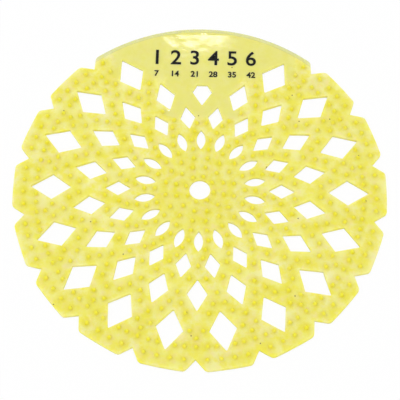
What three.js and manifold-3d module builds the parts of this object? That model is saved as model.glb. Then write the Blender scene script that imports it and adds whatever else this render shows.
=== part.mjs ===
// A urinal deodorizer screen: one moulded sheet of scented EVA, pierced by rings of diamond-shaped
// drain holes, notched round its rim, with a plain tab on one side and small splash studs on top.
//
// Millimetres, +Z up. The origin is the centre of the middle hole, on the underside.
// The tab points along +Y. The sheet lies flat on its underside and the studs stand on top.

import * as THREE from 'three';
import { mergeVertices } from 'three/addons/utils/BufferGeometryUtils.js';
import Module from 'manifold-3d';

// The sheet and its rim
const sheetThickness = 1.8;
const rimRadius = 89.5;          // at the middle of each lobe, and all along the tab
const lobeBow = 190;             // radius of a lobe's own outer edge, flatter than the rim circle
const notchDepth = 5.3;          // from the rim to the bottom of each V
const notchFlare = 42;           // degrees between the V's middle line and each side
const cornerEase = 1.4;          // how far a lobe's rounded corner reaches along its sides

// The pattern turns round the middle hole in equal steps
const stepCount = 18;
const boreRadius = 5;

// Rings 4, 3 and 2, from the rim inwards: diamonds. Each has a waist, where it is widest, and a tip
// on either side of it.
const rimBand = 8.35;            // from the rim to the ring 4 diamonds' outer tips
const outwardReach4 = 10.4;
const inwardReach4 = 9.25;
const halfWidth4 = 6.5;
const tipGap34 = 0.2;            // between the radii that rings 3 and 4 end at
const outwardReach3 = 8.5;
const inwardReach3 = 7.35;
const halfWidth3 = 4.85;
const tipLap23 = 0.15;           // how far ring 2 reaches past ring 3's inner tips
const outwardReach2 = 6.45;
const inwardReach2 = 6.25;
const halfWidth2 = 3.75;
const tipEase = 0.9;             // how far a rounded tip reaches along the diamond's sides

// Ring 1: slim pointed ovals
const tipGap12 = 1.1;            // between the radii that rings 1 and 2 end at
const ovalHalfLength = 5.1;
const ovalHalfWidth = 2.15;

// The tab stands in for the notches and outer diamonds that lie within this many steps of it
const tabHalfSteps = 1.5;
const squareReach = 4.1;         // the ring 3 diamond on the tab's line ends square, this far past its waist
const taperWidth = 2.6;          // the tab's thinned border
const taperDrop = 0.8;           // how much thinner it is at the rim

// The splash studs
const studHeight = 1.7;
const studRootRadius = 1.2;
const studTipRadius = 0.75;
const studSides = 5;
const studClearOfBore = 1.75;    // from the middle hole's edge to the first collar row
const studClearOfRim = 5;        // from the rim to the outermost row
const studClearOfTip = 1.3;      // from a ring 3 diamond's outer tip to the pair beside it
const soloClearOfTip = 4.2;      // from the same tip to the lone stud in front of it
const twistClearOfOval = 0.75;   // from an oval's outer tip back to the twisted row
const barClearOfTip = 3.5;       // from a ring 4 diamond's inner tip back to the pair on the bars
const archClearOfTip = 2.8;      // from a ring 4 diamond's outer tip back to the arch of five
const stemClearOfWaist = 3.55;   // from the ring 4 waist out to the stud on the stem
const bridgePairGap = 6.3;       // between the two studs on a ring 4 bridge
const collarCounts = [8, 12, 16];
const collarStarts = [31.2, 18, 11.4];   // degrees from +X to each collar row's first stud

// The bare label panel at the foot of the tab
const panelHalfWidth = 18;
const panelDepth = 51;           // from the tab's rim in to the panel's foot
const wingHalfWidth = 45.5;
const wingDepth = 30;

const evaYellow = 0xede773;

const degree = Math.PI / 180;
const fullTurn = 2 * Math.PI;
const step = fullTurn / stepCount;
const tabAngle = Math.PI / 2;
const bite = 0.3;                // how deep a stud's root and a cutter's end reach past a face
const weld = 1e-5;               // corners this close are one corner

// How finely curves are cut into straight pieces
const boreSegments = 12;
const ovalSegments = 2;
const tabArcs = 8;
const taperSegments = 72;
const wedgeSides = 4;

// The radii that the rings start, widen and end at, each from the one outside it
const outerTip4 = rimRadius - rimBand;
const waistRadius4 = outerTip4 - outwardReach4;
const innerTip4 = waistRadius4 - inwardReach4;
const outerTip3 = innerTip4 - tipGap34;
const waistRadius3 = outerTip3 - outwardReach3;
const innerTip3 = waistRadius3 - inwardReach3;
const outerTip2 = innerTip3 + tipLap23;
const waistRadius2 = outerTip2 - outwardReach2;
const innerTip2 = waistRadius2 - inwardReach2;
const ovalTip = innerTip2 - tipGap12;
const ovalRadius = ovalTip - ovalHalfLength;
const ovalRoot = ovalRadius - ovalHalfLength;

const wasm = await Module();
wasm.setup();

// A closed three.js geometry as a solid that can be joined and cut
function solidOf(geometry) {
  const bare = geometry.clone();
  bare.deleteAttribute('normal');
  bare.deleteAttribute('uv');
  const merged = mergeVertices(bare, weld);
  return new wasm.Manifold(new wasm.Mesh({
    numProp: 3,
    vertProperties: new Float32Array(merged.attributes.position.array),
    triVerts: new Uint32Array(merged.index.array),
  }));
}

// Many closed geometries as one solid, whether or not they overlap
function joined(geometries) {
  return wasm.Manifold.union(geometries.map(solidOf));
}

function geometryOf(solid) {
  const mesh = solid.getMesh();
  const geometry = new THREE.BufferGeometry();
  geometry.setAttribute('position', new THREE.BufferAttribute(new Float32Array(mesh.vertProperties), 3));
  geometry.setIndex(new THREE.BufferAttribute(new Uint32Array(mesh.triVerts), 1));
  geometry.computeVertexNormals();
  return geometry;
}

// A point at a distance from the middle hole, turned by an angle from +X
function polar(radius, angle) {
  return new THREE.Vector2(radius * Math.cos(angle), radius * Math.sin(angle));
}

// The point a short way along the straight line from one point to another
function along(from, to, distance) {
  return from.clone().add(to.clone().sub(from).setLength(distance));
}

// The axes of the pattern. Even axes carry rings 1 and 3 and the notches, the first of them on the
// tab's line. Odd axes carry rings 2 and 4, halfway between the even ones.
function axes(offset) {
  return Array.from({ length: stepCount }, (_, i) => tabAngle + (i + offset) * step);
}

// How many steps an angle lies from the tab's line, either way round
function stepsFromTab(angle) {
  const turns = (angle - tabAngle) / fullTurn;
  return Math.abs(turns - Math.round(turns)) * stepCount;
}

// Where a ray from a point inside a circle meets it
function meetCircle(from, direction, centre, radius) {
  const offset = from.clone().sub(centre);
  const half = offset.dot(direction);
  const reach = -half + Math.sqrt(half * half - offset.lengthSq() + radius * radius);
  return from.clone().addScaledVector(direction, reach);
}

// The edge between two neighbouring notches: a lobe's flattened arc, or the tab's arc
function edgeBetween(first, second) {
  const middle = first + (second - first) / 2;
  const isTab = second - first > tabHalfSteps * step;
  const radius = isTab ? rimRadius : lobeBow;
  return { radius, centre: polar(rimRadius - radius, middle), arcs: isTab ? tabArcs : 1 };
}

function drawArc(shape, edge, from, to) {
  const start = from.clone().sub(edge.centre).angle();
  let sweep = to.clone().sub(edge.centre).angle() - start;
  if (sweep < 0) {
    sweep += fullTurn;
  }
  for (let i = 0; i < edge.arcs; i += 1) {
    const a = start + sweep * i / edge.arcs;
    const b = start + sweep * (i + 1) / edge.arcs;
    shape.absarc(edge.centre.x, edge.centre.y, edge.radius, a, b, false);
  }
}

// The sheet's outline: V notches with lobes between them, and one long arc round the tab
function rimShape() {
  const notches = axes(0).filter((angle) => stepsFromTab(angle) > tabHalfSteps).sort((a, b) => {
    const turned = (angle) => (angle - tabAngle + fullTurn) % fullTurn;
    return turned(a) - turned(b);
  });
  const shape = new THREE.Shape();
  notches.forEach((angle, i) => {
    const isLast = i === notches.length - 1;
    const next = isLast ? notches[0] + fullTurn : notches[i + 1];
    const edge = edgeBetween(angle, next);
    const root = polar(rimRadius - notchDepth, angle);
    const nextRoot = polar(rimRadius - notchDepth, next);
    const leave = meetCircle(root, polar(1, angle + notchFlare * degree), edge.centre, edge.radius);
    const arrive = meetCircle(nextRoot, polar(1, next - notchFlare * degree), edge.centre, edge.radius);
    const easeTurn = cornerEase / edge.radius;
    const arcStart = leave.clone().rotateAround(edge.centre, easeTurn);
    const arcEnd = arrive.clone().rotateAround(edge.centre, -easeTurn);
    const sideEnd = along(leave, root, cornerEase);
    const nextSide = along(arrive, nextRoot, cornerEase);
    if (i === 0) {
      shape.moveTo(root.x, root.y);
    }
    shape.lineTo(sideEnd.x, sideEnd.y);
    shape.quadraticCurveTo(leave.x, leave.y, arcStart.x, arcStart.y);
    drawArc(shape, edge, arcStart, arcEnd);
    shape.quadraticCurveTo(arrive.x, arrive.y, nextSide.x, nextSide.y);
    shape.lineTo(nextRoot.x, nextRoot.y);
  });
  return shape;
}

// A pointed oval lying along +X, its two sides equal arcs
function ovalShape() {
  const bow = (ovalHalfLength ** 2 + ovalHalfWidth ** 2) / (2 * ovalHalfWidth);
  const lean = Math.asin(ovalHalfLength / bow);
  const offset = bow - ovalHalfWidth;
  const shape = new THREE.Shape();
  shape.absarc(ovalRadius, -offset, bow, tabAngle - lean, tabAngle + lean, false);
  shape.absarc(ovalRadius, offset, bow, -tabAngle - lean, -tabAngle + lean, false);
  return shape;
}

// A diamond lying along +X with rounded tips. With a straight edge, it ends square there instead.
function diamondShape(innerTip, waist, outerTip, halfWidth, straightEdge = Infinity) {
  const inner = new THREE.Vector2(innerTip, 0);
  const outer = new THREE.Vector2(outerTip, 0);
  const left = new THREE.Vector2(waist, halfWidth);
  const right = new THREE.Vector2(waist, -halfWidth);
  const shape = new THREE.Shape();
  const innerLeft = along(inner, left, tipEase);
  const innerRight = along(inner, right, tipEase);
  shape.moveTo(left.x, left.y);
  shape.lineTo(innerLeft.x, innerLeft.y);
  shape.quadraticCurveTo(inner.x, inner.y, innerRight.x, innerRight.y);
  shape.lineTo(right.x, right.y);
  if (straightEdge < outerTip) {
    const halfEdge = halfWidth * (outerTip - straightEdge) / (outerTip - waist);
    shape.lineTo(straightEdge, -halfEdge);
    shape.lineTo(straightEdge, halfEdge);
  } else {
    const outerLeft = along(outer, left, tipEase);
    const outerRight = along(outer, right, tipEase);
    shape.lineTo(outerRight.x, outerRight.y);
    shape.quadraticCurveTo(outer.x, outer.y, outerLeft.x, outerLeft.y);
  }
  shape.closePath();
  return shape;
}

// A cutter with the given outline, turned round the middle hole, that passes both faces
function cutter(shape, angle, curveSegments) {
  const geometry = new THREE.ExtrudeGeometry(shape, {
    depth: sheetThickness + studHeight + 2 * bite,
    bevelEnabled: false,
    curveSegments,
  });
  return geometry.translate(0, 0, -bite).rotateZ(angle);
}

function drainHoles() {
  const oval = ovalShape();
  const diamond2 = diamondShape(innerTip2, waistRadius2, outerTip2, halfWidth2);
  const diamond3 = diamondShape(innerTip3, waistRadius3, outerTip3, halfWidth3);
  const diamond4 = diamondShape(innerTip4, waistRadius4, outerTip4, halfWidth4);
  const squared = diamondShape(innerTip3, waistRadius3, outerTip3, halfWidth3, waistRadius3 + squareReach);
  const bore = new THREE.Shape().absarc(0, 0, boreRadius, 0, fullTurn, false);
  const cutters = [cutter(bore, 0, boreSegments)];
  for (const angle of axes(0)) {
    const onTab = stepsFromTab(angle) < 0.5;
    cutters.push(cutter(oval, angle, ovalSegments));
    cutters.push(cutter(onTab ? squared : diamond3, angle, 1));
  }
  for (const angle of axes(0.5)) {
    cutters.push(cutter(diamond2, angle, 1));
    if (stepsFromTab(angle) > tabHalfSteps - 0.5) {
      cutters.push(cutter(diamond4, angle, 1));
    }
  }
  return joined(cutters);
}

// What the taper takes off the top of the tab: a ring with a sloping floor, kept to the tab's arc
function tabTaper() {
  const past = rimRadius + taperWidth;
  const floorPast = sheetThickness - 2 * taperDrop;
  const ceiling = sheetThickness + studHeight;
  const profile = [
    new THREE.Vector2(rimRadius - taperWidth, sheetThickness),
    new THREE.Vector2(past, floorPast),
    new THREE.Vector2(past, ceiling),
    new THREE.Vector2(rimRadius - taperWidth, ceiling),
    new THREE.Vector2(rimRadius - taperWidth, sheetThickness),
  ];
  const ring = new THREE.LatheGeometry(profile, taperSegments).rotateX(Math.PI / 2);
  const halfSweep = (tabHalfSteps + 0.5) * step;
  const corners = [new THREE.Vector2(0, 0)];
  for (let i = 0; i <= wedgeSides; i += 1) {
    corners.push(polar(2 * past, tabAngle + halfSweep * (2 * i / wedgeSides - 1)));
  }
  const sector = new THREE.Shape(corners);
  const wedge = new THREE.ExtrudeGeometry(sector, { depth: ceiling + bite, bevelEnabled: false });
  return solidOf(ring).intersect(solidOf(wedge));
}

// A pair of places, one either side of an axis
function pair(turn) {
  return [-turn, turn];
}

// The rows of studs round the pattern. Turns are fractions of a step from each even axis.
// Angles in degrees from +X say where the mould leaves a row's stud out, or the only place it has one.
function studRows() {
  const bridgeTurn = bridgePairGap / 2 / waistRadius4 / step;
  const twistRadius = (ovalTip + waistRadius2) / 2;
  return [
    { radius: ovalRoot, turns: [0.5] },
    { radius: ovalRadius, turns: [0.5] },
    { radius: ovalTip - twistClearOfOval, turns: [0.292] },
    { radius: twistRadius, turns: [0.183] },
    { radius: twistRadius, turns: [-0.183], only: [90] },
    { radius: waistRadius2, turns: [0] },
    { radius: (outerTip2 + innerTip3) / 2, turns: pair(0.247) },
    { radius: waistRadius3, turns: [0.5], bare: [0, 180] },
    { radius: innerTip4 - barClearOfTip, turns: pair(0.36) },
    { radius: outerTip3 + studClearOfTip, turns: pair(0.247) },
    { radius: outerTip3 + soloClearOfTip, turns: [0], bare: [270] },
    { radius: waistRadius4, turns: pair(bridgeTurn) },
    { radius: waistRadius4 + stemClearOfWaist, turns: [0] },
    { radius: outerTip4 - archClearOfTip, turns: [0, ...pair(0.193), ...pair(0.347)] },
    { radius: rimRadius - studClearOfRim, turns: [...pair(0.18), ...pair(0.395)] },
  ];
}

// The label panel: a tongue between the inner rings, with a wide wing above it
function onLabelPanel(place) {
  const offset = Math.abs(place.x);
  const fromRim = rimRadius - place.y;
  const onTongue = offset < panelHalfWidth && fromRim < panelDepth;
  const onWing = offset < wingHalfWidth && fromRim < wingDepth;
  return onTongue || onWing;
}

function studPlaces() {
  const places = [];
  const first = boreRadius + studClearOfBore;
  collarCounts.forEach((count, row) => {
    const radius = first + (ovalRoot - first) * row / collarCounts.length;
    for (let i = 0; i < count; i += 1) {
      places.push(polar(radius, collarStarts[row] * degree + i * fullTurn / count));
    }
  });
  const sameAxis = Math.cos(step / 4);
  for (const { radius, turns, bare = [], only } of studRows()) {
    for (const axis of axes(0)) {
      for (const turn of turns) {
        const angle = axis + turn * step;
        const isAt = (degrees) => Math.cos(angle - degrees * degree) > sameAxis;
        const isMoulded = only ? only.some(isAt) : !bare.some(isAt);
        if (isMoulded) {
          places.push(polar(radius, angle));
        }
      }
    }
  }
  return places.filter((place) => !onLabelPanel(place));
}

// Small tapered studs, each turned so that one of its corners points away from the middle hole
function studs() {
  const flare = (studRootRadius - studTipRadius) / studHeight;
  const rootRadius = studRootRadius + flare * bite;
  const corners = Array.from({ length: studSides }, (_, i) => polar(rootRadius, i * fullTurn / studSides));
  const depth = studHeight + bite;
  const stud = new THREE.ExtrudeGeometry(new THREE.Shape(corners), { depth, bevelEnabled: false });
  const place = stud.attributes.position;
  for (let i = 0; i < place.count; i += 1) {
    const taper = 1 + (studTipRadius / rootRadius - 1) * place.getZ(i) / depth;
    place.setXY(i, place.getX(i) * taper, place.getY(i) * taper);
  }
  stud.translate(0, 0, sheetThickness - bite);
  return joined(studPlaces().map((spot) => stud.clone().rotateZ(spot.angle()).translate(spot.x, spot.y, 0)));
}

function blank() {
  const depth = sheetThickness;
  return new THREE.ExtrudeGeometry(rimShape(), { depth, bevelEnabled: false, curveSegments: 1 });
}

function deodorizerScreen() {
  const sheet = solidOf(blank()).subtract(tabTaper());
  const pierced = sheet.add(studs()).subtract(drainHoles());
  const material = new THREE.MeshStandardMaterial({ color: evaYellow, roughness: 0.45, metalness: 0 });
  const mesh = new THREE.Mesh(geometryOf(pierced), material);
  mesh.name = 'deodorizer_screen';
  return mesh;
}

const model = new THREE.Group();
model.add(deodorizerScreen());

export default model;
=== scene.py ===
"""Looks of the urinal deodorizer screen: one moulded sheet of scented EVA, pierced by rings of
diamonds, notched round its rim and covered with small splash studs, with a dated tab.

Sizes below are millimetres, in the frame's own place: the middle hole is at the origin, the tab
points along +Y and the underside lies at height 0. Meshes are built in metres.
"""

import math

import bpy
import numpy as np
from mathutils import Matrix, Vector
from mathutils.geometry import delaunay_2d_cdt


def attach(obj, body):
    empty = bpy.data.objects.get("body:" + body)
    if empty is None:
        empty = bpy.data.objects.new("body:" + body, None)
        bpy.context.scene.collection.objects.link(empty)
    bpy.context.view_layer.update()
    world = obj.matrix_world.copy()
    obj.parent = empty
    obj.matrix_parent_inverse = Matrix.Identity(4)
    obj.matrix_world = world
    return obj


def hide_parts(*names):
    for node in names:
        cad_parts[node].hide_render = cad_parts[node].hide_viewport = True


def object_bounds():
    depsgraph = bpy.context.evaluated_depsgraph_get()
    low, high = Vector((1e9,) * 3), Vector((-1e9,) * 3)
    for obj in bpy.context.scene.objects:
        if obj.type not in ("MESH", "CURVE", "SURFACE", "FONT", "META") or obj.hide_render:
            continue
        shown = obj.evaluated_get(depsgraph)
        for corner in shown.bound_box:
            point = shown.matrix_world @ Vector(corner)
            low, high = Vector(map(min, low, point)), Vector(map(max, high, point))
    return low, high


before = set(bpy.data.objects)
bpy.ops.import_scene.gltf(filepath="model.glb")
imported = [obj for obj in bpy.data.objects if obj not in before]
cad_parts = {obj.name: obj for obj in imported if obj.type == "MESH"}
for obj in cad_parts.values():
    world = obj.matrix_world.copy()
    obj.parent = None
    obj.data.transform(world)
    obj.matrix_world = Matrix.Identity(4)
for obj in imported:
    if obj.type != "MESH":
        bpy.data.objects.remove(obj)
cad_low, cad_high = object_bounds()
MM = 0.001

# The sheet and its rim. A step is one eighteenth of a turn. The tab reaches from one notch to the
# next, two steps either side of its axis, and what lies within one and a half steps is on the tab.
TOTAL_HEIGHT = cad_high.z / MM
SHEET = 1.8
RIM_RADIUS = cad_high.x / MM
LOBE_BOW = 190.0
NOTCH_DEPTH = 5.3
NOTCH_FLARE = math.radians(42)
CORNER_EASE = 1.4
STEP_COUNT = 18
STEP = 2 * math.pi / STEP_COUNT
TAB_ANGLE = math.pi / 2
TAB_HALF_STEPS = 1.5
TAB_END_STEPS = 2
TAB_HALF_WIDTH = RIM_RADIUS * math.sin(TAB_END_STEPS * STEP)
TAPER_WIDTH = 2.6
TAPER_DROP = 0.8
TAB_ARC_STEPS = 56
LOBE_ARC_STEPS = 16

# The holes: each ring's inner tip, waist, outer tip and half-width
BORE_RADIUS = 5.0
OVAL = {"inner": 21.6, "outer": 31.8, "half_width": 2.15}
DIAMOND_2 = {"inner": 32.9, "waist": 39.15, "outer": 45.6, "half_width": 3.75}
DIAMOND_3 = {"inner": 45.45, "waist": 52.8, "outer": 61.3, "half_width": 4.85}
DIAMOND_4 = {"inner": 61.5, "waist": 70.75, "outer": 81.15, "half_width": 6.5}
SQUARE_END = 56.9
TIP_EASE = 0.9
BORE_SIDES = 40
OVAL_ARC_STEPS = 10

# The moulded edge: how the wall of every hole and of the rim rounds over into the faces, and how
# deep its colour looks, from 0 for the open sheet to 1 for the top of a stud; the walls' deeper
# colour is partly painted shade
LIP_RADIUS = 0.45
FOOT_RADIUS = 0.2
LIP_STEPS = 4
FOOT_STEPS = 2
WALL_DEPTH_AND_SHADE = 0.35

# The label plate: its edge on the tab, and where it keeps the sheet clear of studs, as a panel down
# from the rim and a shallower wing on either side
PLATE_STEP = 0.16
PLATE_STEP_WIDTH = 0.25
PLATE_EDGE_POINTS = 61
PLATE_EDGE_REACH = (TAB_END_STEPS - 0.13) * STEP
PANEL_HALF_WIDTH, PANEL_DEPTH = 18.0, 51.0
WING_HALF_WIDTH, WING_DEPTH = 45.5, 30.0

# The studs, and the halo of painted shade, a deeper and darker colour, that each leaves round its root
STUD_ROOT = 1.3
STUD_SIDES = 8
ROOT_PAINTED_SHADE_WIDTH = 1.9
ROOT_PAINTED_SHADE = 0.42

# The mesh: the grid of points on the flat, how far it keeps from every edge, the longest side of an
# outline, and the share of a stud's root within which a triangle's middle belongs to the stud
SKIN_SPACING = 1.7
SKIN_CLEAR = 0.5
CURVE_STEPS = 6
EDGE_SPACING = 1.6
ROOT_SHARE = 0.85

# The numbers printed on the tab, a row of weeks and under it a row of days: the height of each row,
# and how much bolder it is than the plain lettering
INK_THICKNESS = 0.02
WEEKS = range(1, 7)
WEEK_PITCH = 9.4
WEEK_HEIGHT = 8.2
WEEK_WEIGHT = 0.014
DAY_HEIGHT = 3.3
DAY_WEIGHT = 0.03
DAY_DROP = 9.3
SCALE_CENTRE = (0.5, 72.3)

# Colours
EVA_FRESH = "#f5ee80"
EVA_PALE = "#f8f1b2"
EVA_STRONG = "#f1e74a"
EVA_BLUSH = "#f7e4ac"
# Deeper yellow of thick EVA on the studs, also painted shade on the hole walls and round the studs' roots
EVA_DEEP_AND_SHADE = "#e6db2c"
EVA_PLATE = "#e7e27e"
EVA_THIN = "#d9dba4"
EVA_LINE = "#cbc97a"
SPECK = "#6e5526"
INK = "#080808"
INK_DRY = "#1c1c1a"
TABLE_WHITE = "#f7f7f7"

# The EVA's patterns: the size of each in mm, and the range that most of a noise lies in
CLOUD_SIZE = 11.0
PATCH_SIZE = 4.5
BLUSH_SIZE = 3.6
SPECK_SPACING = 16.0
SPECK_RADIUS = 0.42
NOISE_LOW, NOISE_HIGH = 0.3, 0.7

# The EVA's skin: waves and grain with their heights in mm, off the label plate and on it, the
# roughness of the sheet from its smoothest to its roughest, the plate's share of that, and how much
# of the plate's own colour shows
WAVE_SIZE = 7.0
WAVE_HEIGHTS = (0.2, 0.08)
GRAIN_SIZE = 0.7
GRAIN_HEIGHTS = (0.025, 0.006)
EVA_ROUGHNESS = (0.34, 0.46)
PLATE_GLOSS = 0.2
PLATE_SHARE = 0.8

# The EVA's body: how it bends light, the share of light that scatters inside it, how far red, green
# and blue reach beside one another, and that reach in mm
EVA_IOR = 1.48
SCATTER_SHARE = 0.9
SCATTER_REACH = (1.0, 0.9, 0.2)
SCATTER_DEPTH = 2.5

# The ink's film
INK_PATCH_SIZE = 1.5
INK_ROUGHNESS = 0.5
INK_SHEEN = 0.2

# The camera, from fitting the holes and the rim to the photograph: its focal length in picture
# widths, the point it looks at and its distance in mm, its turn, height and roll in degrees, and
# the width in mm of the sensor that its lens is worked out for
CAMERA_FOCAL = 3.136
CAMERA_TARGET = (0.20, -4.75, 0.0)
CAMERA_DISTANCE = 600.5
CAMERA_TURN = 0.926
CAMERA_RISE = 66.5
CAMERA_ROLL = 0.412
SENSOR_WIDTH = 36.0

# The light: each lamp's share of plain white with its place and size in mm, and the point on the
# tab where the mirror image of the last one falls
SURROUND_SHARE = 0.97
KEY_PLACE = (-700.0, 400.0, 1100.0)
KEY_SIZE = (900.0, 900.0)
KEY_SHARE = 0.08
SHINE_PLACE = (-2.5, 86.2)
SHINE_DISTANCE = 800.0
SHINE_SIZE = (58.0, 11.0)
SHINE_SHARE = 0.009

# The table: half its width, its height under the sheet, and how much of it the camera sees as plain
# white
TABLE_HALF = 3000.0
TABLE_HEIGHT = -0.02
PLAIN_WHITE_SHARE = 0.92


def polar(radius, angle):
    """Points at a distance from the middle hole, turned by an angle from +X."""
    return np.stack([radius * np.cos(angle), radius * np.sin(angle)], axis=-1)


def turned(points, angle):
    """Points on a plane turned round the origin."""
    c, s = math.cos(angle), math.sin(angle)
    return points @ np.array([[c, s], [-s, c]])


def ease(start, corner, end, steps=CURVE_STEPS):
    """A corner rounded off: start (1-t)^2 + 2 corner t(1-t) + end t^2, for t from 0 to 1."""
    t = np.linspace(0, 1, steps + 1)[:, None]
    return start * (1 - t) ** 2 + 2 * corner * t * (1 - t) + end * t**2


def along(start, end, distance):
    """The point a short way along the straight line from start to end."""
    return start + (end - start) * (distance / np.linalg.norm(end - start))


def arc(centre, start, end, steps):
    """Points on a circle round centre, from start to end, counter-clockwise, by equal turns."""
    a = math.atan2(*(start - centre)[::-1])
    sweep = (math.atan2(*(end - centre)[::-1]) - a) % (2 * math.pi)
    return centre + polar(np.linalg.norm(start - centre), a + sweep * np.linspace(0, 1, steps + 1))


def filled_in(loop, spacing=EDGE_SPACING):
    """A closed loop with each side cut into equal parts no longer than the spacing."""
    ahead = np.roll(loop, -1, axis=0) - loop
    parts = np.maximum(1, np.ceil(np.linalg.norm(ahead, axis=1) / spacing)).astype(int)
    side = np.repeat(np.arange(len(loop)), parts)
    share = (np.arange(parts.sum()) - np.repeat(np.cumsum(parts) - parts, parts)) / parts[side]
    return loop[side] + ahead[side] * share[:, None]


def even_axes():
    """The axes of the ovals, the ring 3 diamonds and the notches, the first of them the tab's."""
    return TAB_ANGLE + STEP * np.arange(STEP_COUNT)


def odd_axes():
    """The axes halfway between, of the ring 2 and ring 4 diamonds."""
    return even_axes() + STEP / 2


def steps_from_tab(angle):
    """How many steps an angle lies from the tab's line, either way round."""
    return np.abs((angle - TAB_ANGLE + math.pi) % (2 * math.pi) - math.pi) / STEP


def rim_outline():
    """The sheet's outline, counter-clockwise: V notches joined by flat lobes, and by one long arc of
    the rim circle round the tab. A side of a notch leaves its root at the flare angle and meets the
    lobe's arc in a rounded corner. Nothing reaches below the solid's own box."""
    notches = sorted(a % (2 * math.pi) for a in even_axes() if steps_from_tab(a) > TAB_HALF_STEPS)
    notches = [a for a in notches if a > TAB_ANGLE] + [a + 2 * math.pi for a in notches if a < TAB_ANGLE]
    parts = []
    for first, second in zip(notches, notches[1:] + [notches[0] + 2 * math.pi]):
        is_tab = second - first > TAB_HALF_STEPS * STEP
        bow = RIM_RADIUS if is_tab else LOBE_BOW
        centre = polar(RIM_RADIUS - bow, (first + second) / 2)
        roots = [polar(RIM_RADIUS - NOTCH_DEPTH, a) for a in (first, second)]
        corners = []
        for root, heading in zip(roots, (first + NOTCH_FLARE, second - NOTCH_FLARE)):
            away, ray = root - centre, polar(1.0, heading)
            half = away @ ray
            corners.append(root + ray * (math.sqrt(half**2 - away @ away + bow**2) - half))
        swing = CORNER_EASE / bow
        begin = centre + turned(corners[0] - centre, swing)
        finish = centre + turned(corners[1] - centre, -swing)
        parts += [
            roots[0][None],
            ease(along(corners[0], roots[0], CORNER_EASE), corners[0], begin),
            arc(centre, begin, finish, TAB_ARC_STEPS if is_tab else LOBE_ARC_STEPS)[1:-1],
            ease(finish, corners[1], along(corners[1], roots[1], CORNER_EASE)),
        ]
    outline = np.concatenate(parts)
    outline[:, 1] = np.maximum(outline[:, 1], cad_low.y / MM)
    return filled_in(outline)


def oval_outline(inner, outer, half_width):
    """A pointed oval along +X: two equal arcs that meet at the tips."""
    half = (outer - inner) / 2
    bow = (half**2 + half_width**2) / (2 * half_width)
    lean = math.asin(half / bow)
    t = np.linspace(-lean, lean, OVAL_ARC_STEPS + 1)[:-1]
    middle = np.array([(inner + outer) / 2, half_width - bow])
    upper = middle + polar(bow, TAB_ANGLE + t)
    return np.concatenate([upper, (upper - [2 * middle[0], 0]) * [-1, -1]])


def diamond_outline(inner, waist, outer, half_width, square_end=None):
    """A diamond along +X, clockwise from its inner tip, with the tips eased. With a square end, it is
    cut straight across there instead of reaching its outer tip."""
    tip_in, tip_out = np.array([inner, 0.0]), np.array([outer, 0.0])
    left, right = np.array([waist, half_width]), np.array([waist, -half_width])
    parts = [ease(along(tip_in, right, TIP_EASE), tip_in, along(tip_in, left, TIP_EASE)), left[None]]
    if square_end is None:
        parts.append(ease(along(tip_out, left, TIP_EASE), tip_out, along(tip_out, right, TIP_EASE)))
    else:
        half = half_width * (outer - square_end) / (outer - waist)
        parts.append(np.array([[square_end, half], [square_end, -half]]))
    return np.concatenate([*parts, right[None]])


def clockwise(loop):
    """The loop turned to run clockwise, so that the sheet lies on its left."""
    x, y = loop.T
    area = (x * np.roll(y, -1) - y * np.roll(x, -1)).sum()
    return loop[::-1] if area > 0 else loop


def hole_outlines():
    """Every drain hole as a closed loop."""
    holes = [polar(BORE_RADIUS, np.linspace(0, 2 * math.pi, BORE_SIDES + 1)[:-1])]
    oval, diamond_2 = oval_outline(**OVAL), diamond_outline(**DIAMOND_2)
    diamond_3, diamond_4 = diamond_outline(**DIAMOND_3), diamond_outline(**DIAMOND_4)
    squared = diamond_outline(**DIAMOND_3, square_end=SQUARE_END)
    for angle in even_axes():
        holes += [turned(oval, angle), turned(squared if steps_from_tab(angle) < 0.5 else diamond_3, angle)]
    for angle in odd_axes():
        holes.append(turned(diamond_2, angle))
        if steps_from_tab(angle) > TAB_HALF_STEPS - 0.5:
            holes.append(turned(diamond_4, angle))
    return [clockwise(filled_in(hole)) for hole in holes]


# The rows of studs: radius, turns from each even axis as fractions of a step, and the angles in
# degrees from +X at which a row has no stud, or the only ones at which it has one
STUD_ROWS = [
    (OVAL["inner"], [0.5], [], []),
    ((OVAL["inner"] + OVAL["outer"]) / 2, [0.5], [], []),
    (OVAL["outer"] - 0.75, [0.292], [], []),
    ((OVAL["outer"] + DIAMOND_2["waist"]) / 2, [0.183], [], []),
    ((OVAL["outer"] + DIAMOND_2["waist"]) / 2, [-0.183], [], [90]),
    (DIAMOND_2["waist"], [0], [], []),
    ((DIAMOND_2["outer"] + DIAMOND_3["inner"]) / 2, [-0.247, 0.247], [], []),
    (DIAMOND_3["waist"], [0.5], [0, 180], []),
    (DIAMOND_4["inner"] - 3.5, [-0.36, 0.36], [], []),
    (DIAMOND_3["outer"] + 1.3, [-0.247, 0.247], [], []),
    (DIAMOND_3["outer"] + 4.2, [0], [270], []),
    (DIAMOND_4["waist"], [-0.1275, 0.1275], [], []),
    (DIAMOND_4["waist"] + 3.55, [0], [], []),
    (DIAMOND_4["outer"] - 2.8, [0, -0.193, 0.193, -0.347, 0.347], [], []),
    (RIM_RADIUS - 5, [-0.18, 0.18, -0.395, 0.395], [], []),
]

# The three rows round the bore: their counts, the turn of each one's first stud in degrees, and how
# far the first row lies from the bore
COLLAR_COUNTS = [8, 12, 16]
COLLAR_STARTS = [31.2, 18, 11.4]
COLLAR_CLEAR = 1.75


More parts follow.
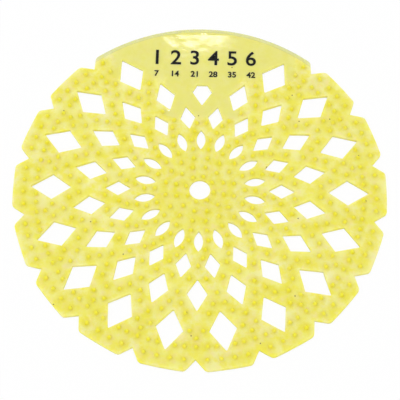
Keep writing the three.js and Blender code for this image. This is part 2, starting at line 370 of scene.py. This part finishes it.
def stud_places():
    """The middle of every stud: three rows round the bore, then the rows of the pattern, and none
    on the label panel below the tab's rim."""
    places = []
    first, last = BORE_RADIUS + COLLAR_CLEAR, OVAL["inner"]
    for row, (count, start) in enumerate(zip(COLLAR_COUNTS, COLLAR_STARTS)):
        radius = first + (last - first) * row / len(COLLAR_COUNTS)
        places.append(polar(radius, math.radians(start) + np.arange(count) * 2 * math.pi / count))
    for radius, turns, bare, only in STUD_ROWS:
        angles = (even_axes()[:, None] + STEP * np.array(turns)).ravel()

        def at(degrees):
            offsets = np.cos(angles[:, None] - np.radians(np.array(degrees, float)))
            return (offsets > math.cos(STEP / 4)).any(axis=1)

        places.append(polar(radius, angles[at(only) if only else ~at(bare)]))
    spots = np.concatenate(places)
    from_rim, across = RIM_RADIUS - spots[:, 1], np.abs(spots[:, 0])
    on_panel = (across < PANEL_HALF_WIDTH) & (from_rim < PANEL_DEPTH)
    on_wing = (across < WING_HALF_WIDTH) & (from_rim < WING_DEPTH)
    return spots[~(on_panel | on_wing)]


def top_height(points):
    """Height of the sheet's upper face: its thickness, less a fall across the tab's border that
    starts with a short step, where the mould's label plate ends."""
    radius, angle = np.hypot(*points.T), np.arctan2(points[:, 1], points[:, 0])
    past = radius - RIM_RADIUS + TAPER_WIDTH
    on_tab = steps_from_tab(angle) < TAB_END_STEPS
    step_down = PLATE_STEP * np.clip(past / PLATE_STEP_WIDTH, 0, 1)
    slope = (TAPER_DROP - PLATE_STEP) * np.clip(past / TAPER_WIDTH, 0, 1)
    return SHEET - on_tab * (step_down + slope)


def plate_edge():
    """Two arcs on the tab, where its border starts to fall and where the first step ends."""
    turns = TAB_ANGLE + np.linspace(-PLATE_EDGE_REACH, PLATE_EDGE_REACH, PLATE_EDGE_POINTS)
    start = RIM_RADIUS - TAPER_WIDTH
    return [polar(start, turns), polar(start + PLATE_STEP_WIDTH, turns)]


def inside(points, loops):
    """Which points lie in the sheet: those that a ray along +X leaves by an odd number of sides."""
    crossings = np.zeros(len(points), int)
    for loop in loops:
        a, b = loop, np.roll(loop, -1, axis=0)
        spans = (a[:, 1] > points[:, 1, None]) != (b[:, 1] > points[:, 1, None])
        rise = np.where(b[:, 1] == a[:, 1], 1.0, b[:, 1] - a[:, 1])
        meet = a[:, 0] + (points[:, 1, None] - a[:, 1]) / rise * (b[:, 0] - a[:, 0])
        crossings += (spans & (meet > points[:, 0, None])).sum(axis=1)
    return crossings % 2 == 1


def mitres(loops):
    """For every point of the loops, the step that moves both its sides 1 mm into the sheet: the sum
    of the two sides' left normals, divided by one plus their dot product."""
    steps = []
    for loop in loops:
        ahead = np.roll(loop, -1, axis=0) - loop
        normal = np.stack([-ahead[:, 1], ahead[:, 0]], axis=1) / np.linalg.norm(ahead, axis=1)[:, None]
        before = np.roll(normal, 1, axis=0)
        steps.append((normal + before) / (1 + (normal * before).sum(axis=1))[:, None])
    return np.concatenate(steps)


def lip_profile():
    """The wall's section from the upper face down, as rows of inset, distance, whether that is from
    the upper face or else from the underside, and depth of colour, partly painted shade on the wall:
    a quarter round, a straight wall and a smaller quarter round."""
    rows = []
    # Down the lip the colour deepens to the wall's, partly painted shade in the holes and round the rim
    for a in np.linspace(0, math.pi / 2, LIP_STEPS + 1):
        inset, drop = LIP_RADIUS * (1 - math.sin(a)), LIP_RADIUS * (1 - math.cos(a))
        rows.append((inset, drop, True, WALL_DEPTH_AND_SHADE * math.sin(a)))
    for a in np.linspace(0, math.pi / 2, FOOT_STEPS + 1):
        rows.append((FOOT_RADIUS * (1 - math.cos(a)), FOOT_RADIUS * (1 - math.sin(a)), False, WALL_DEPTH_AND_SHADE))
    return rows


def stud_profile():
    """A stud's section from its root up, as rows of radius, height over the sheet and depth of colour,
    painted shade at the root and the deeper yellow of thick EVA above: a flared root, a slim taper
    and a rounded end."""
    height = TOTAL_HEIGHT - SHEET
    return [
        (STUD_ROOT, 0.0, ROOT_PAINTED_SHADE),
        (1.12, 0.22, 0.65),
        (0.95, 0.6 * height, 0.8),
        (0.74, 0.87 * height, 0.9),
        (0.36, height, 0.9),
    ]


def nearest(points, marks):
    """The distance from each point to the nearest mark."""
    parts = np.array_split(points, max(1, len(points) * len(marks) // 2_000_000))
    return np.concatenate([np.linalg.norm(p[:, None] - marks[None], axis=2).min(axis=1) for p in parts])


def hex_grid(spacing):
    """Points in rows, each row half a spacing along from the last."""
    rows = int(2 * RIM_RADIUS / (spacing * 0.866)) + 2
    i, j = np.meshgrid(np.arange(-rows // 2, rows // 2), np.arange(-rows // 2, rows // 2))
    return np.stack([(i + 0.5 * (j % 2)) * spacing, j * spacing * 0.866], axis=-1).reshape(-1, 2)


def loop_links(loops, start=0):
    """For loops stacked in one list, the number of each point and of the next one on its loop."""
    sizes = [len(loop) for loop in loops]
    first = np.repeat(np.cumsum([0] + sizes[:-1]), sizes)
    size = np.repeat(sizes, sizes)
    here = np.arange(sum(sizes))
    return here + start, first + (here - first + 1) % size + start


def strip(upper, upper_next, lower, lower_next):
    """Two triangles for each side between one ring of points and the ring below it."""
    a = np.stack([upper, lower, lower_next], axis=1)
    b = np.stack([upper, lower_next, upper_next], axis=1)
    return np.concatenate([a, b])


def single(points):
    """Points rounded to single precision, as the triangulation rounds them, so that a thin triangle
    on a straight side falls on the same side of it here and there."""
    return points.astype(np.float32).astype(float)


def screen_mesh():
    """The whole screen as one closed skin, in mm: its points, triangles, end caps of the studs, and
    each point's depth of colour, with painted shade on the walls and round the studs' roots. The
    upper face is a triangulation of the sheet inside its lips and round the studs' roots. Each wall
    is the lip profile carried round its loop, each stud is the stud profile turned round its middle,
    and the underside repeats the upper face's triangles."""
    loops = [rim_outline(), *hole_outlines()]
    edge, step_in = np.concatenate(loops), mitres(loops)
    profile = lip_profile()
    lip_top = single(edge + step_in * profile[0][0])
    lip_loops = np.split(lip_top, np.cumsum([len(loop) for loop in loops])[:-1])

    spots = stud_places()
    circle = polar(1.0, np.arange(STUD_SIDES) * 2 * math.pi / STUD_SIDES)
    roots = [spot + circle * STUD_ROOT for spot in spots]

    arcs = np.concatenate(plate_edge())
    skin = hex_grid(SKIN_SPACING)
    skin = skin[inside(skin, lip_loops)]
    skin = skin[nearest(skin, spots) > STUD_ROOT + SKIN_CLEAR]
    skin = skin[nearest(skin, np.concatenate([lip_top, arcs])) > SKIN_CLEAR]

    n_edge = len(edge)
    flat = single(np.concatenate([lip_top, *roots, arcs, skin]))
    edge_links = loop_links(loops)
    root_links = loop_links(roots, n_edge)
    along_arc = n_edge + len(spots) * STUD_SIDES + np.arange(len(arcs) - 1)
    along_arc = along_arc[np.arange(len(arcs) - 1) != PLATE_EDGE_POINTS - 1]
    borders = [np.stack(links, 1) for links in (edge_links, root_links, (along_arc, along_arc + 1))]
    borders = np.concatenate(borders)
    faces_2d = delaunay_2d_cdt([Vector(p) for p in flat.tolist()], borders.tolist(), [], 0, 1e-6)
    source = np.array([ids[0] for ids in faces_2d[3]])
    tris = source[np.array(faces_2d[2])]
    along_x, along_y = flat[tris[:, 1:]].transpose(2, 0, 1) - flat[tris[:, :1]].transpose(2, 0, 1)
    clockwise_ones = along_x[:, 0] * along_y[:, 1] < along_x[:, 1] * along_y[:, 0]
    tris[clockwise_ones] = tris[clockwise_ones][:, ::-1]
    middle = flat[tris].mean(axis=1)
    tris, middle = tris[inside(middle, lip_loops)], middle[inside(middle, lip_loops)]
    off_studs = nearest(middle, spots) > STUD_ROOT * ROOT_SHARE

    places = [np.column_stack([flat, top_height(flat)])]
    # Painted shade: the sheet's colour deepens round every stud's root and fades out over the halo's width
    depth_and_shade = [ROOT_PAINTED_SHADE * np.exp(-(((nearest(flat, spots) - STUD_ROOT) / ROOT_PAINTED_SHADE_WIDTH) ** 2))]
    faces = [tris[off_studs]]
    count = len(flat)

    edge_top = top_height(edge)
    ring, ring_next = edge_links
    for inset, height, from_top, shade in profile[1:]:
        z = edge_top - height if from_top else np.full(n_edge, height)
        places.append(np.column_stack([edge + step_in * inset, z]))
        depth_and_shade.append(np.full(n_edge, shade))
        new, new_next = edge_links[0] + count, edge_links[1] + count
        faces.append(strip(ring, ring_next, new, new_next))
        ring, ring_next = new, new_next
        count += n_edge

    below = np.concatenate([ring, np.arange(count, count + len(flat) - n_edge)])
    places.append(np.column_stack([flat[n_edge:], np.zeros(len(flat) - n_edge)]))
    depth_and_shade.append(np.zeros(len(flat) - n_edge))
    faces.append(below[tris][:, ::-1])
    count += len(flat) - n_edge

    ring, ring_next = root_links
    for radius, height, shade in stud_profile()[1:]:
        around = (spots[:, None] + circle * radius).reshape(-1, 2)
        places.append(np.column_stack([around, np.full(len(around), SHEET + height)]))
        depth_and_shade.append(np.full(len(around), shade))
        new, new_next = root_links[0] - n_edge + count, root_links[1] - n_edge + count
        faces.append(strip(new, new_next, ring, ring_next))
        ring, ring_next = new, new_next
        count += len(around)
    caps = ring.reshape(-1, STUD_SIDES)
    return np.concatenate(places), np.concatenate(faces), caps, np.concatenate(depth_and_shade)


def piece(name, points_mm, faces, material):
    """A mesh object on the frame's only body, smooth all over, from points in mm."""
    mesh = bpy.data.meshes.new(name)
    mesh.from_pydata((points_mm * MM).tolist(), [], faces)
    mesh.materials.append(material)
    mesh.shade_smooth()
    thing = bpy.data.objects.new(name, mesh)
    bpy.context.scene.collection.objects.link(thing)
    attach(thing, "root")
    return thing


def scented_screen():
    """The moulded sheet with its lips and studs, in place of the frame's plain solid."""
    points, tris, caps, depth_and_shade = screen_mesh()
    thing = piece("scented_screen", points, tris.tolist() + caps.tolist(), moulded_eva())
    # Each point's depth of colour, partly painted shade, kept for the material
    shade = thing.data.attributes.new("eva_depth_and_shade", "FLOAT", "POINT")
    shade.data.foreach_set("value", depth_and_shade.astype(np.float32))
    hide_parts("deodorizer_screen")
    return thing


def number_shape(number, height, centre, weight):
    """One number of the printed scale: the built-in lettering, filled and made a mesh, then scaled
    to its height and set down round its centre. Returns its points in mm and its faces."""
    letters = bpy.data.curves.new("number", "FONT")
    letters.body = str(number)
    letters.offset = weight
    letters.extrude = 0.5
    source = bpy.data.objects.new("number", letters)
    bpy.context.scene.collection.objects.link(source)
    shaped = source.evaluated_get(bpy.context.evaluated_depsgraph_get())
    mesh = bpy.data.meshes.new_from_object(shaped)
    bpy.data.objects.remove(source)
    points = np.zeros(len(mesh.vertices) * 3)
    mesh.vertices.foreach_get("co", points)
    points = points.reshape(-1, 3)
    low, high = points.min(axis=0), points.max(axis=0)
    points = (points - (low + high) / 2) / (high[1] - low[1]) * height
    points[:, :2] += centre
    points[:, 2] = SHEET + np.where(points[:, 2] > 0, INK_THICKNESS, -INK_THICKNESS)
    return points, [tuple(face.vertices) for face in mesh.polygons]


def printed_scale():
    """The dated scale on the tab: the weeks in a row of large numbers, and under each of them the
    days that have passed, small."""
    points, faces, count = [], [], 0
    across = SCALE_CENTRE[0] + WEEK_PITCH * (np.arange(len(WEEKS)) - (len(WEEKS) - 1) / 2)
    for x, week in zip(across, WEEKS):
        week_row = (week, WEEK_HEIGHT, (x, SCALE_CENTRE[1]), WEEK_WEIGHT)
        day_row = (7 * week, DAY_HEIGHT, (x, SCALE_CENTRE[1] - DAY_DROP), DAY_WEIGHT)
        for row in (week_row, day_row):
            shape, rings = number_shape(*row)
            points.append(shape)
            faces += [tuple(i + count for i in ring) for ring in rings]
            count += len(shape)
    thing = piece("week_scale", np.concatenate(points), faces, pad_printed_ink())
    thing.data.shade_flat()
    return thing


def linear(colour):
    """An sRGB hex colour as linear red, green, blue and full alpha."""
    value = np.array([int(colour[i : i + 2], 16) for i in (1, 3, 5)]) / 255
    curved = ((value + 0.055) / 1.055) ** 2.4
    return (*np.where(value <= 0.04045, value / 12.92, curved).tolist(), 1.0)


def add(tree, kind, inputs=None, **settings):
    """Adds a node. Each input, by name or number, is a value or a socket to link from."""
    node = tree.nodes.new(kind)
    for name, value in settings.items():
        setattr(node, name, value)
    for name, value in (inputs or {}).items():
        if isinstance(value, bpy.types.NodeSocket):
            tree.links.new(value, node.inputs[name])
        else:
            node.inputs[name].default_value = value
    return node


def new_material(name):
    """An empty material with its output node, and the node tree."""
    material = bpy.data.materials.new(name)
    material.use_nodes = True
    tree = material.node_tree
    tree.nodes.clear()
    return material, tree, add(tree, "ShaderNodeOutputMaterial")


def per_mm(size):
    """The scale that gives a pattern features of this size in mm on coordinates in metres."""
    return 1 / (size * MM)


def blend_colour(tree, factor, first, second):
    """A mix of two colours."""
    return add(tree, "ShaderNodeMix", {0: factor, 6: first, 7: second}, data_type="RGBA").outputs[2]


def ramp(tree, value, low, high, to_low=0.0, to_high=1.0):
    """A value carried from one range to another, and kept within it."""
    spans = {"Value": value, "From Min": low, "From Max": high, "To Min": to_low, "To Max": to_high}
    return add(tree, "ShaderNodeMapRange", spans).outputs[0]


def moulded_eva():
    """Scented ethylene-vinyl acetate, injection moulded: a soft, faintly see-through yellow with a
    satin skin. Thick places, the studs and the walls, are painted deeper, and on the walls and in a
    halo round each stud's root that deeper colour is painted shade; the smooth label plate and its
    thin border are paler, with a darker line between them. The scent leaves the colour mottled, and
    a few brown specks lie in it, drawn 0.8 mm wide so that they show."""
    material, tree, output = new_material("moulded_scented_EVA")
    place = add(tree, "ShaderNodeTexCoord").outputs["Object"]
    depth_and_shade = add(tree, "ShaderNodeAttribute", attribute_name="eva_depth_and_shade").outputs["Fac"]

    cloud = add(tree, "ShaderNodeTexNoise", {"Vector": place, "Scale": per_mm(CLOUD_SIZE), "Detail": 3.0})
    patchy = {"Vector": place, "Scale": per_mm(PATCH_SIZE), "Detail": 4.0, "Roughness": 0.65}
    mottle = add(tree, "ShaderNodeTexNoise", patchy)
    blush = add(tree, "ShaderNodeTexNoise", {"Vector": place, "Scale": per_mm(BLUSH_SIZE), "Detail": 1.0})
    cloudy = ramp(tree, cloud.outputs[0], NOISE_LOW, NOISE_HIGH)
    body = blend_colour(tree, cloudy, linear(EVA_FRESH), linear(EVA_PALE))
    body = blend_colour(tree, ramp(tree, mottle.outputs[0], 0.42, 0.62, 0, 0.9), body, linear(EVA_STRONG))
    body = blend_colour(tree, ramp(tree, blush.outputs[0], 0.52, 0.75, 0, 0.55), body, linear(EVA_BLUSH))
    # Studs and walls painted deeper and darker: the thick EVA's own depth, and painted shade on the walls
    # and round the studs' roots
    body = blend_colour(tree, ramp(tree, depth_and_shade, 0, 1), body, linear(EVA_DEEP_AND_SHADE))
    sides = add(tree, "ShaderNodeSeparateXYZ", {0: place}).outputs
    wing_top = ramp(tree, sides[1], (RIM_RADIUS - WING_DEPTH - 3) * MM, (RIM_RADIUS - WING_DEPTH + 3) * MM)
    across = add(tree, "ShaderNodeMath", {0: sides[0]}, operation="ABSOLUTE").outputs[0]
    wing_side = ramp(tree, across, (WING_HALF_WIDTH - 3) * MM, (WING_HALF_WIDTH + 3) * MM, 1, 0)
    wing = add(tree, "ShaderNodeMath", {0: wing_top, 1: wing_side}, operation="MULTIPLY").outputs[0]
    beside = ramp(tree, across, (PANEL_HALF_WIDTH - 1) * MM, (PANEL_HALF_WIDTH + 2) * MM, 1, 0)
    panel = ramp(tree, sides[1], (RIM_RADIUS - PANEL_DEPTH - 2) * MM, (RIM_RADIUS - PANEL_DEPTH + 2) * MM)
    panel = add(tree, "ShaderNodeMath", {0: beside, 1: panel}, operation="MULTIPLY").outputs[0]
    polished = add(tree, "ShaderNodeMath", {0: wing, 1: panel}, operation="MAXIMUM").outputs[0]
    radius = add(tree, "ShaderNodeVectorMath", {0: place}, operation="LENGTH").outputs["Value"]
    past = add(tree, "ShaderNodeMath", {0: radius, 1: (RIM_RADIUS - TAPER_WIDTH) * MM}, operation="SUBTRACT")
    plate = add(tree, "ShaderNodeMath", {0: polished, 1: PLATE_SHARE}, operation="MULTIPLY").outputs[0]
    body = blend_colour(tree, plate, body, linear(EVA_PLATE))
    thin = ramp(tree, past.outputs[0], 0, TAPER_WIDTH * MM, 0.35, 1.0)
    on_border = ramp(tree, past.outputs[0], 0, PLATE_STEP_WIDTH * MM)
    tab_side = ramp(tree, across, (TAB_HALF_WIDTH - 1) * MM, TAB_HALF_WIDTH * MM, 1, 0)
    on_border = add(tree, "ShaderNodeMath", {0: on_border, 1: tab_side}, operation="MULTIPLY").outputs[0]
    on_border = add(tree, "ShaderNodeMath", {0: on_border, 1: wing_top}, operation="MULTIPLY").outputs[0]
    thin = add(tree, "ShaderNodeMath", {0: thin, 1: on_border}, operation="MULTIPLY").outputs[0]
    body = blend_colour(tree, thin, body, linear(EVA_THIN))
    line = ramp(tree, past.outputs[0], PLATE_STEP_WIDTH * MM, 2 * PLATE_STEP_WIDTH * MM, 0.7, 0)
    line = add(tree, "ShaderNodeMath", {0: line, 1: on_border}, operation="MULTIPLY").outputs[0]
    body = blend_colour(tree, line, body, linear(EVA_LINE))

    cells = {"Vector": place, "Scale": per_mm(SPECK_SPACING)}
    speck = add(tree, "ShaderNodeTexVoronoi", cells, voronoi_dimensions="2D")
    speck_edge = SPECK_RADIUS / SPECK_SPACING
    near = ramp(tree, speck.outputs["Distance"], speck_edge, 0.5 * speck_edge)
    chosen = add(tree, "ShaderNodeSeparateColor", {0: speck.outputs["Color"]}).outputs[0]
    rare = ramp(tree, chosen, 0.7, 0.72, 0, 0.9)
    spot = add(tree, "ShaderNodeMath", {0: near, 1: rare}, operation="MULTIPLY").outputs[0]
    body = blend_colour(tree, spot, body, linear(SPECK))

    grain = add(tree, "ShaderNodeTexNoise", {"Vector": place, "Scale": per_mm(GRAIN_SIZE), "Detail": 2.0})
    wave = add(tree, "ShaderNodeTexNoise", {"Vector": place, "Scale": per_mm(WAVE_SIZE), "Detail": 1.0})
    swell = ramp(tree, polished, 0, 1, *(height * MM for height in WAVE_HEIGHTS))
    relief = add(tree, "ShaderNodeBump", {"Strength": 1.0, "Distance": swell, "Height": wave.outputs[0]})
    rub = ramp(tree, polished, 0, 1, *(height * MM for height in GRAIN_HEIGHTS))
    fine = {"Strength": 1.0, "Distance": rub, "Height": grain.outputs[0], "Normal": relief.outputs[0]}
    skin = add(tree, "ShaderNodeBump", fine)
    satin = ramp(tree, grain.outputs[0], NOISE_LOW, NOISE_HIGH, *EVA_ROUGHNESS)
    glossy = {0: satin, 1: ramp(tree, polished, 0, 1, 1.0, PLATE_GLOSS)}
    rough = add(tree, "ShaderNodeMath", glossy, operation="MULTIPLY").outputs[0]
    surface = {
        "Base Color": body,
        "Roughness": rough,
        "IOR": EVA_IOR,
        "Subsurface Weight": SCATTER_SHARE,
        "Subsurface Radius": SCATTER_REACH,
        "Subsurface Scale": SCATTER_DEPTH * MM,
        "Normal": skin.outputs[0],
    }
    shader = add(tree, "ShaderNodeBsdfPrincipled", surface)
    tree.links.new(shader.outputs[0], output.inputs["Surface"])
    return material


def pad_printed_ink():
    """Black pad-printing ink on EVA: a thin, nearly matt film, a little uneven where it dried."""
    material, tree, output = new_material("pad_printed_ink")
    place = add(tree, "ShaderNodeTexCoord").outputs["Object"]
    patchy = {"Vector": place, "Scale": per_mm(INK_PATCH_SIZE), "Detail": 2.0}
    patch = add(tree, "ShaderNodeTexNoise", patchy)
    colour = blend_colour(tree, ramp(tree, patch.outputs[0], 0.4, 0.75), linear(INK), linear(INK_DRY))
    surface = {"Base Color": colour, "Roughness": INK_ROUGHNESS, "Specular IOR Level": INK_SHEEN}
    shader = add(tree, "ShaderNodeBsdfPrincipled", surface)
    tree.links.new(shader.outputs[0], output.inputs["Surface"])
    return material


def white_table():
    """A plain matt white surface. To the camera, and in glossy and clear things, it is mostly plain
    white, and the rest is lit, so that it keeps the object's shadow."""
    material, tree, output = new_material("matt_white_table")
    ray = add(tree, "ShaderNodeLightPath")
    seen = add(tree, "ShaderNodeMath", {0: ray.outputs["Is Camera Ray"], 1: ray.outputs["Is Glossy Ray"]})
    seen = add(tree, "ShaderNodeMath", {0: seen.outputs[0], 1: ray.outputs["Is Transmission Ray"]})
    share = add(tree, "ShaderNodeMath", {0: seen.outputs[0], 1: PLAIN_WHITE_SHARE}, operation="MULTIPLY")
    lit = add(tree, "ShaderNodeBsdfDiffuse", {"Color": linear(TABLE_WHITE)})
    plain = add(tree, "ShaderNodeEmission", {"Strength": 1.0})
    mixed = add(tree, "ShaderNodeMixShader", {0: share.outputs[0], 1: lit.outputs[0], 2: plain.outputs[0]})
    tree.links.new(mixed.outputs[0], output.inputs["Surface"])
    return material


def table():
    """The plain pale floor, a flat square just under the sheet."""
    mesh = bpy.data.meshes.new("table")
    half, low = TABLE_HALF, TABLE_HEIGHT
    corners = np.array([[-half, -half, low], [half, -half, low], [half, half, low], [-half, half, low]])
    mesh.from_pydata((corners * MM).tolist(), [], [(0, 1, 2, 3)])
    mesh.materials.append(white_table())
    floor = bpy.data.objects.new("table", mesh)
    bpy.context.scene.collection.objects.link(floor)


def soft_lamp(name, place, target, size, share):
    """An oblong lamp turned to a point on the sheet. The share is the part of plain white light that
    it gives a matt surface facing it: power = share * pi^2 * distance^2."""
    lamp = bpy.data.lights.new(name, "AREA")
    lamp.shape = "RECTANGLE"
    lamp.size, lamp.size_y = size[0] * MM, size[1] * MM
    away = Vector(place) - Vector(target)
    lamp.energy = share * math.pi**2 * (away.length * MM) ** 2
    thing = bpy.data.objects.new(name, lamp)
    thing.location = Vector(place) * MM
    thing.rotation_mode = "QUATERNION"
    thing.rotation_quaternion = away.to_track_quat("Z", "Y")
    bpy.context.scene.collection.objects.link(thing)


def daylight():
    """An even white surround."""
    world = bpy.data.worlds.new("studio_surround")
    world.use_nodes = True
    tree = world.node_tree
    tree.nodes.clear()
    ray = add(tree, "ShaderNodeLightPath")
    strength = ramp(tree, ray.outputs["Is Camera Ray"], 0, 1, SURROUND_SHARE, 1.0)
    even = add(tree, "ShaderNodeBackground", {"Color": (1, 1, 1, 1), "Strength": strength})
    output = add(tree, "ShaderNodeOutputWorld")
    tree.links.new(even.outputs[0], output.inputs["Surface"])
    bpy.context.scene.world = world


def camera_axes():
    """The unit vector from the point looked at to the camera, and the picture's right and up."""
    turn, rise, roll = (math.radians(a) for a in (CAMERA_TURN, CAMERA_RISE, CAMERA_ROLL))
    back = np.array([math.sin(turn) * math.cos(rise), -math.cos(turn) * math.cos(rise), math.sin(rise)])
    level = np.array([math.cos(turn), math.sin(turn), 0.0])
    steep = np.cross(back, level)
    right = level * math.cos(roll) + steep * math.sin(roll)
    return back, right, np.cross(back, right)


def photo_camera():
    """The camera at the photograph's angle, with its lens worked out from the focal length that
    fits the picture, in widths of the picture."""
    back, right, up = camera_axes()
    data = bpy.data.cameras.new("camera")
    data.sensor_width = SENSOR_WIDTH
    data.lens = CAMERA_FOCAL * SENSOR_WIDTH
    data.clip_start, data.clip_end = 0.05, 20.0
    thing = bpy.data.objects.new("camera", data)
    place = (np.array(CAMERA_TARGET) + back * CAMERA_DISTANCE) * MM
    thing.matrix_world = Matrix.Translation(place) @ Matrix(np.column_stack([right, up, back])).to_4x4()
    bpy.context.scene.collection.objects.link(thing)
    bpy.context.scene.camera = thing
    return place / MM


def lights(camera_place):
    """An even surround, a wide and faint key lamp from the upper left, and a small one whose mirror
    image falls on the top of the tab: it stands where the ray from the camera leaves the tab."""
    daylight()
    soft_lamp("key", KEY_PLACE, (0, 0, 0), KEY_SIZE, KEY_SHARE)
    shine = np.array([SHINE_PLACE[0], SHINE_PLACE[1], SHEET])
    ray = shine - camera_place
    away = ray * [1, 1, -1] / np.linalg.norm(ray)
    soft_lamp("tab_shine", shine + away * SHINE_DISTANCE, shine, SHINE_SIZE, SHINE_SHARE)


scented_screen()
printed_scale()
table()
lights(photo_camera())

settings = bpy.context.scene.view_settings
settings.view_transform = "Standard"
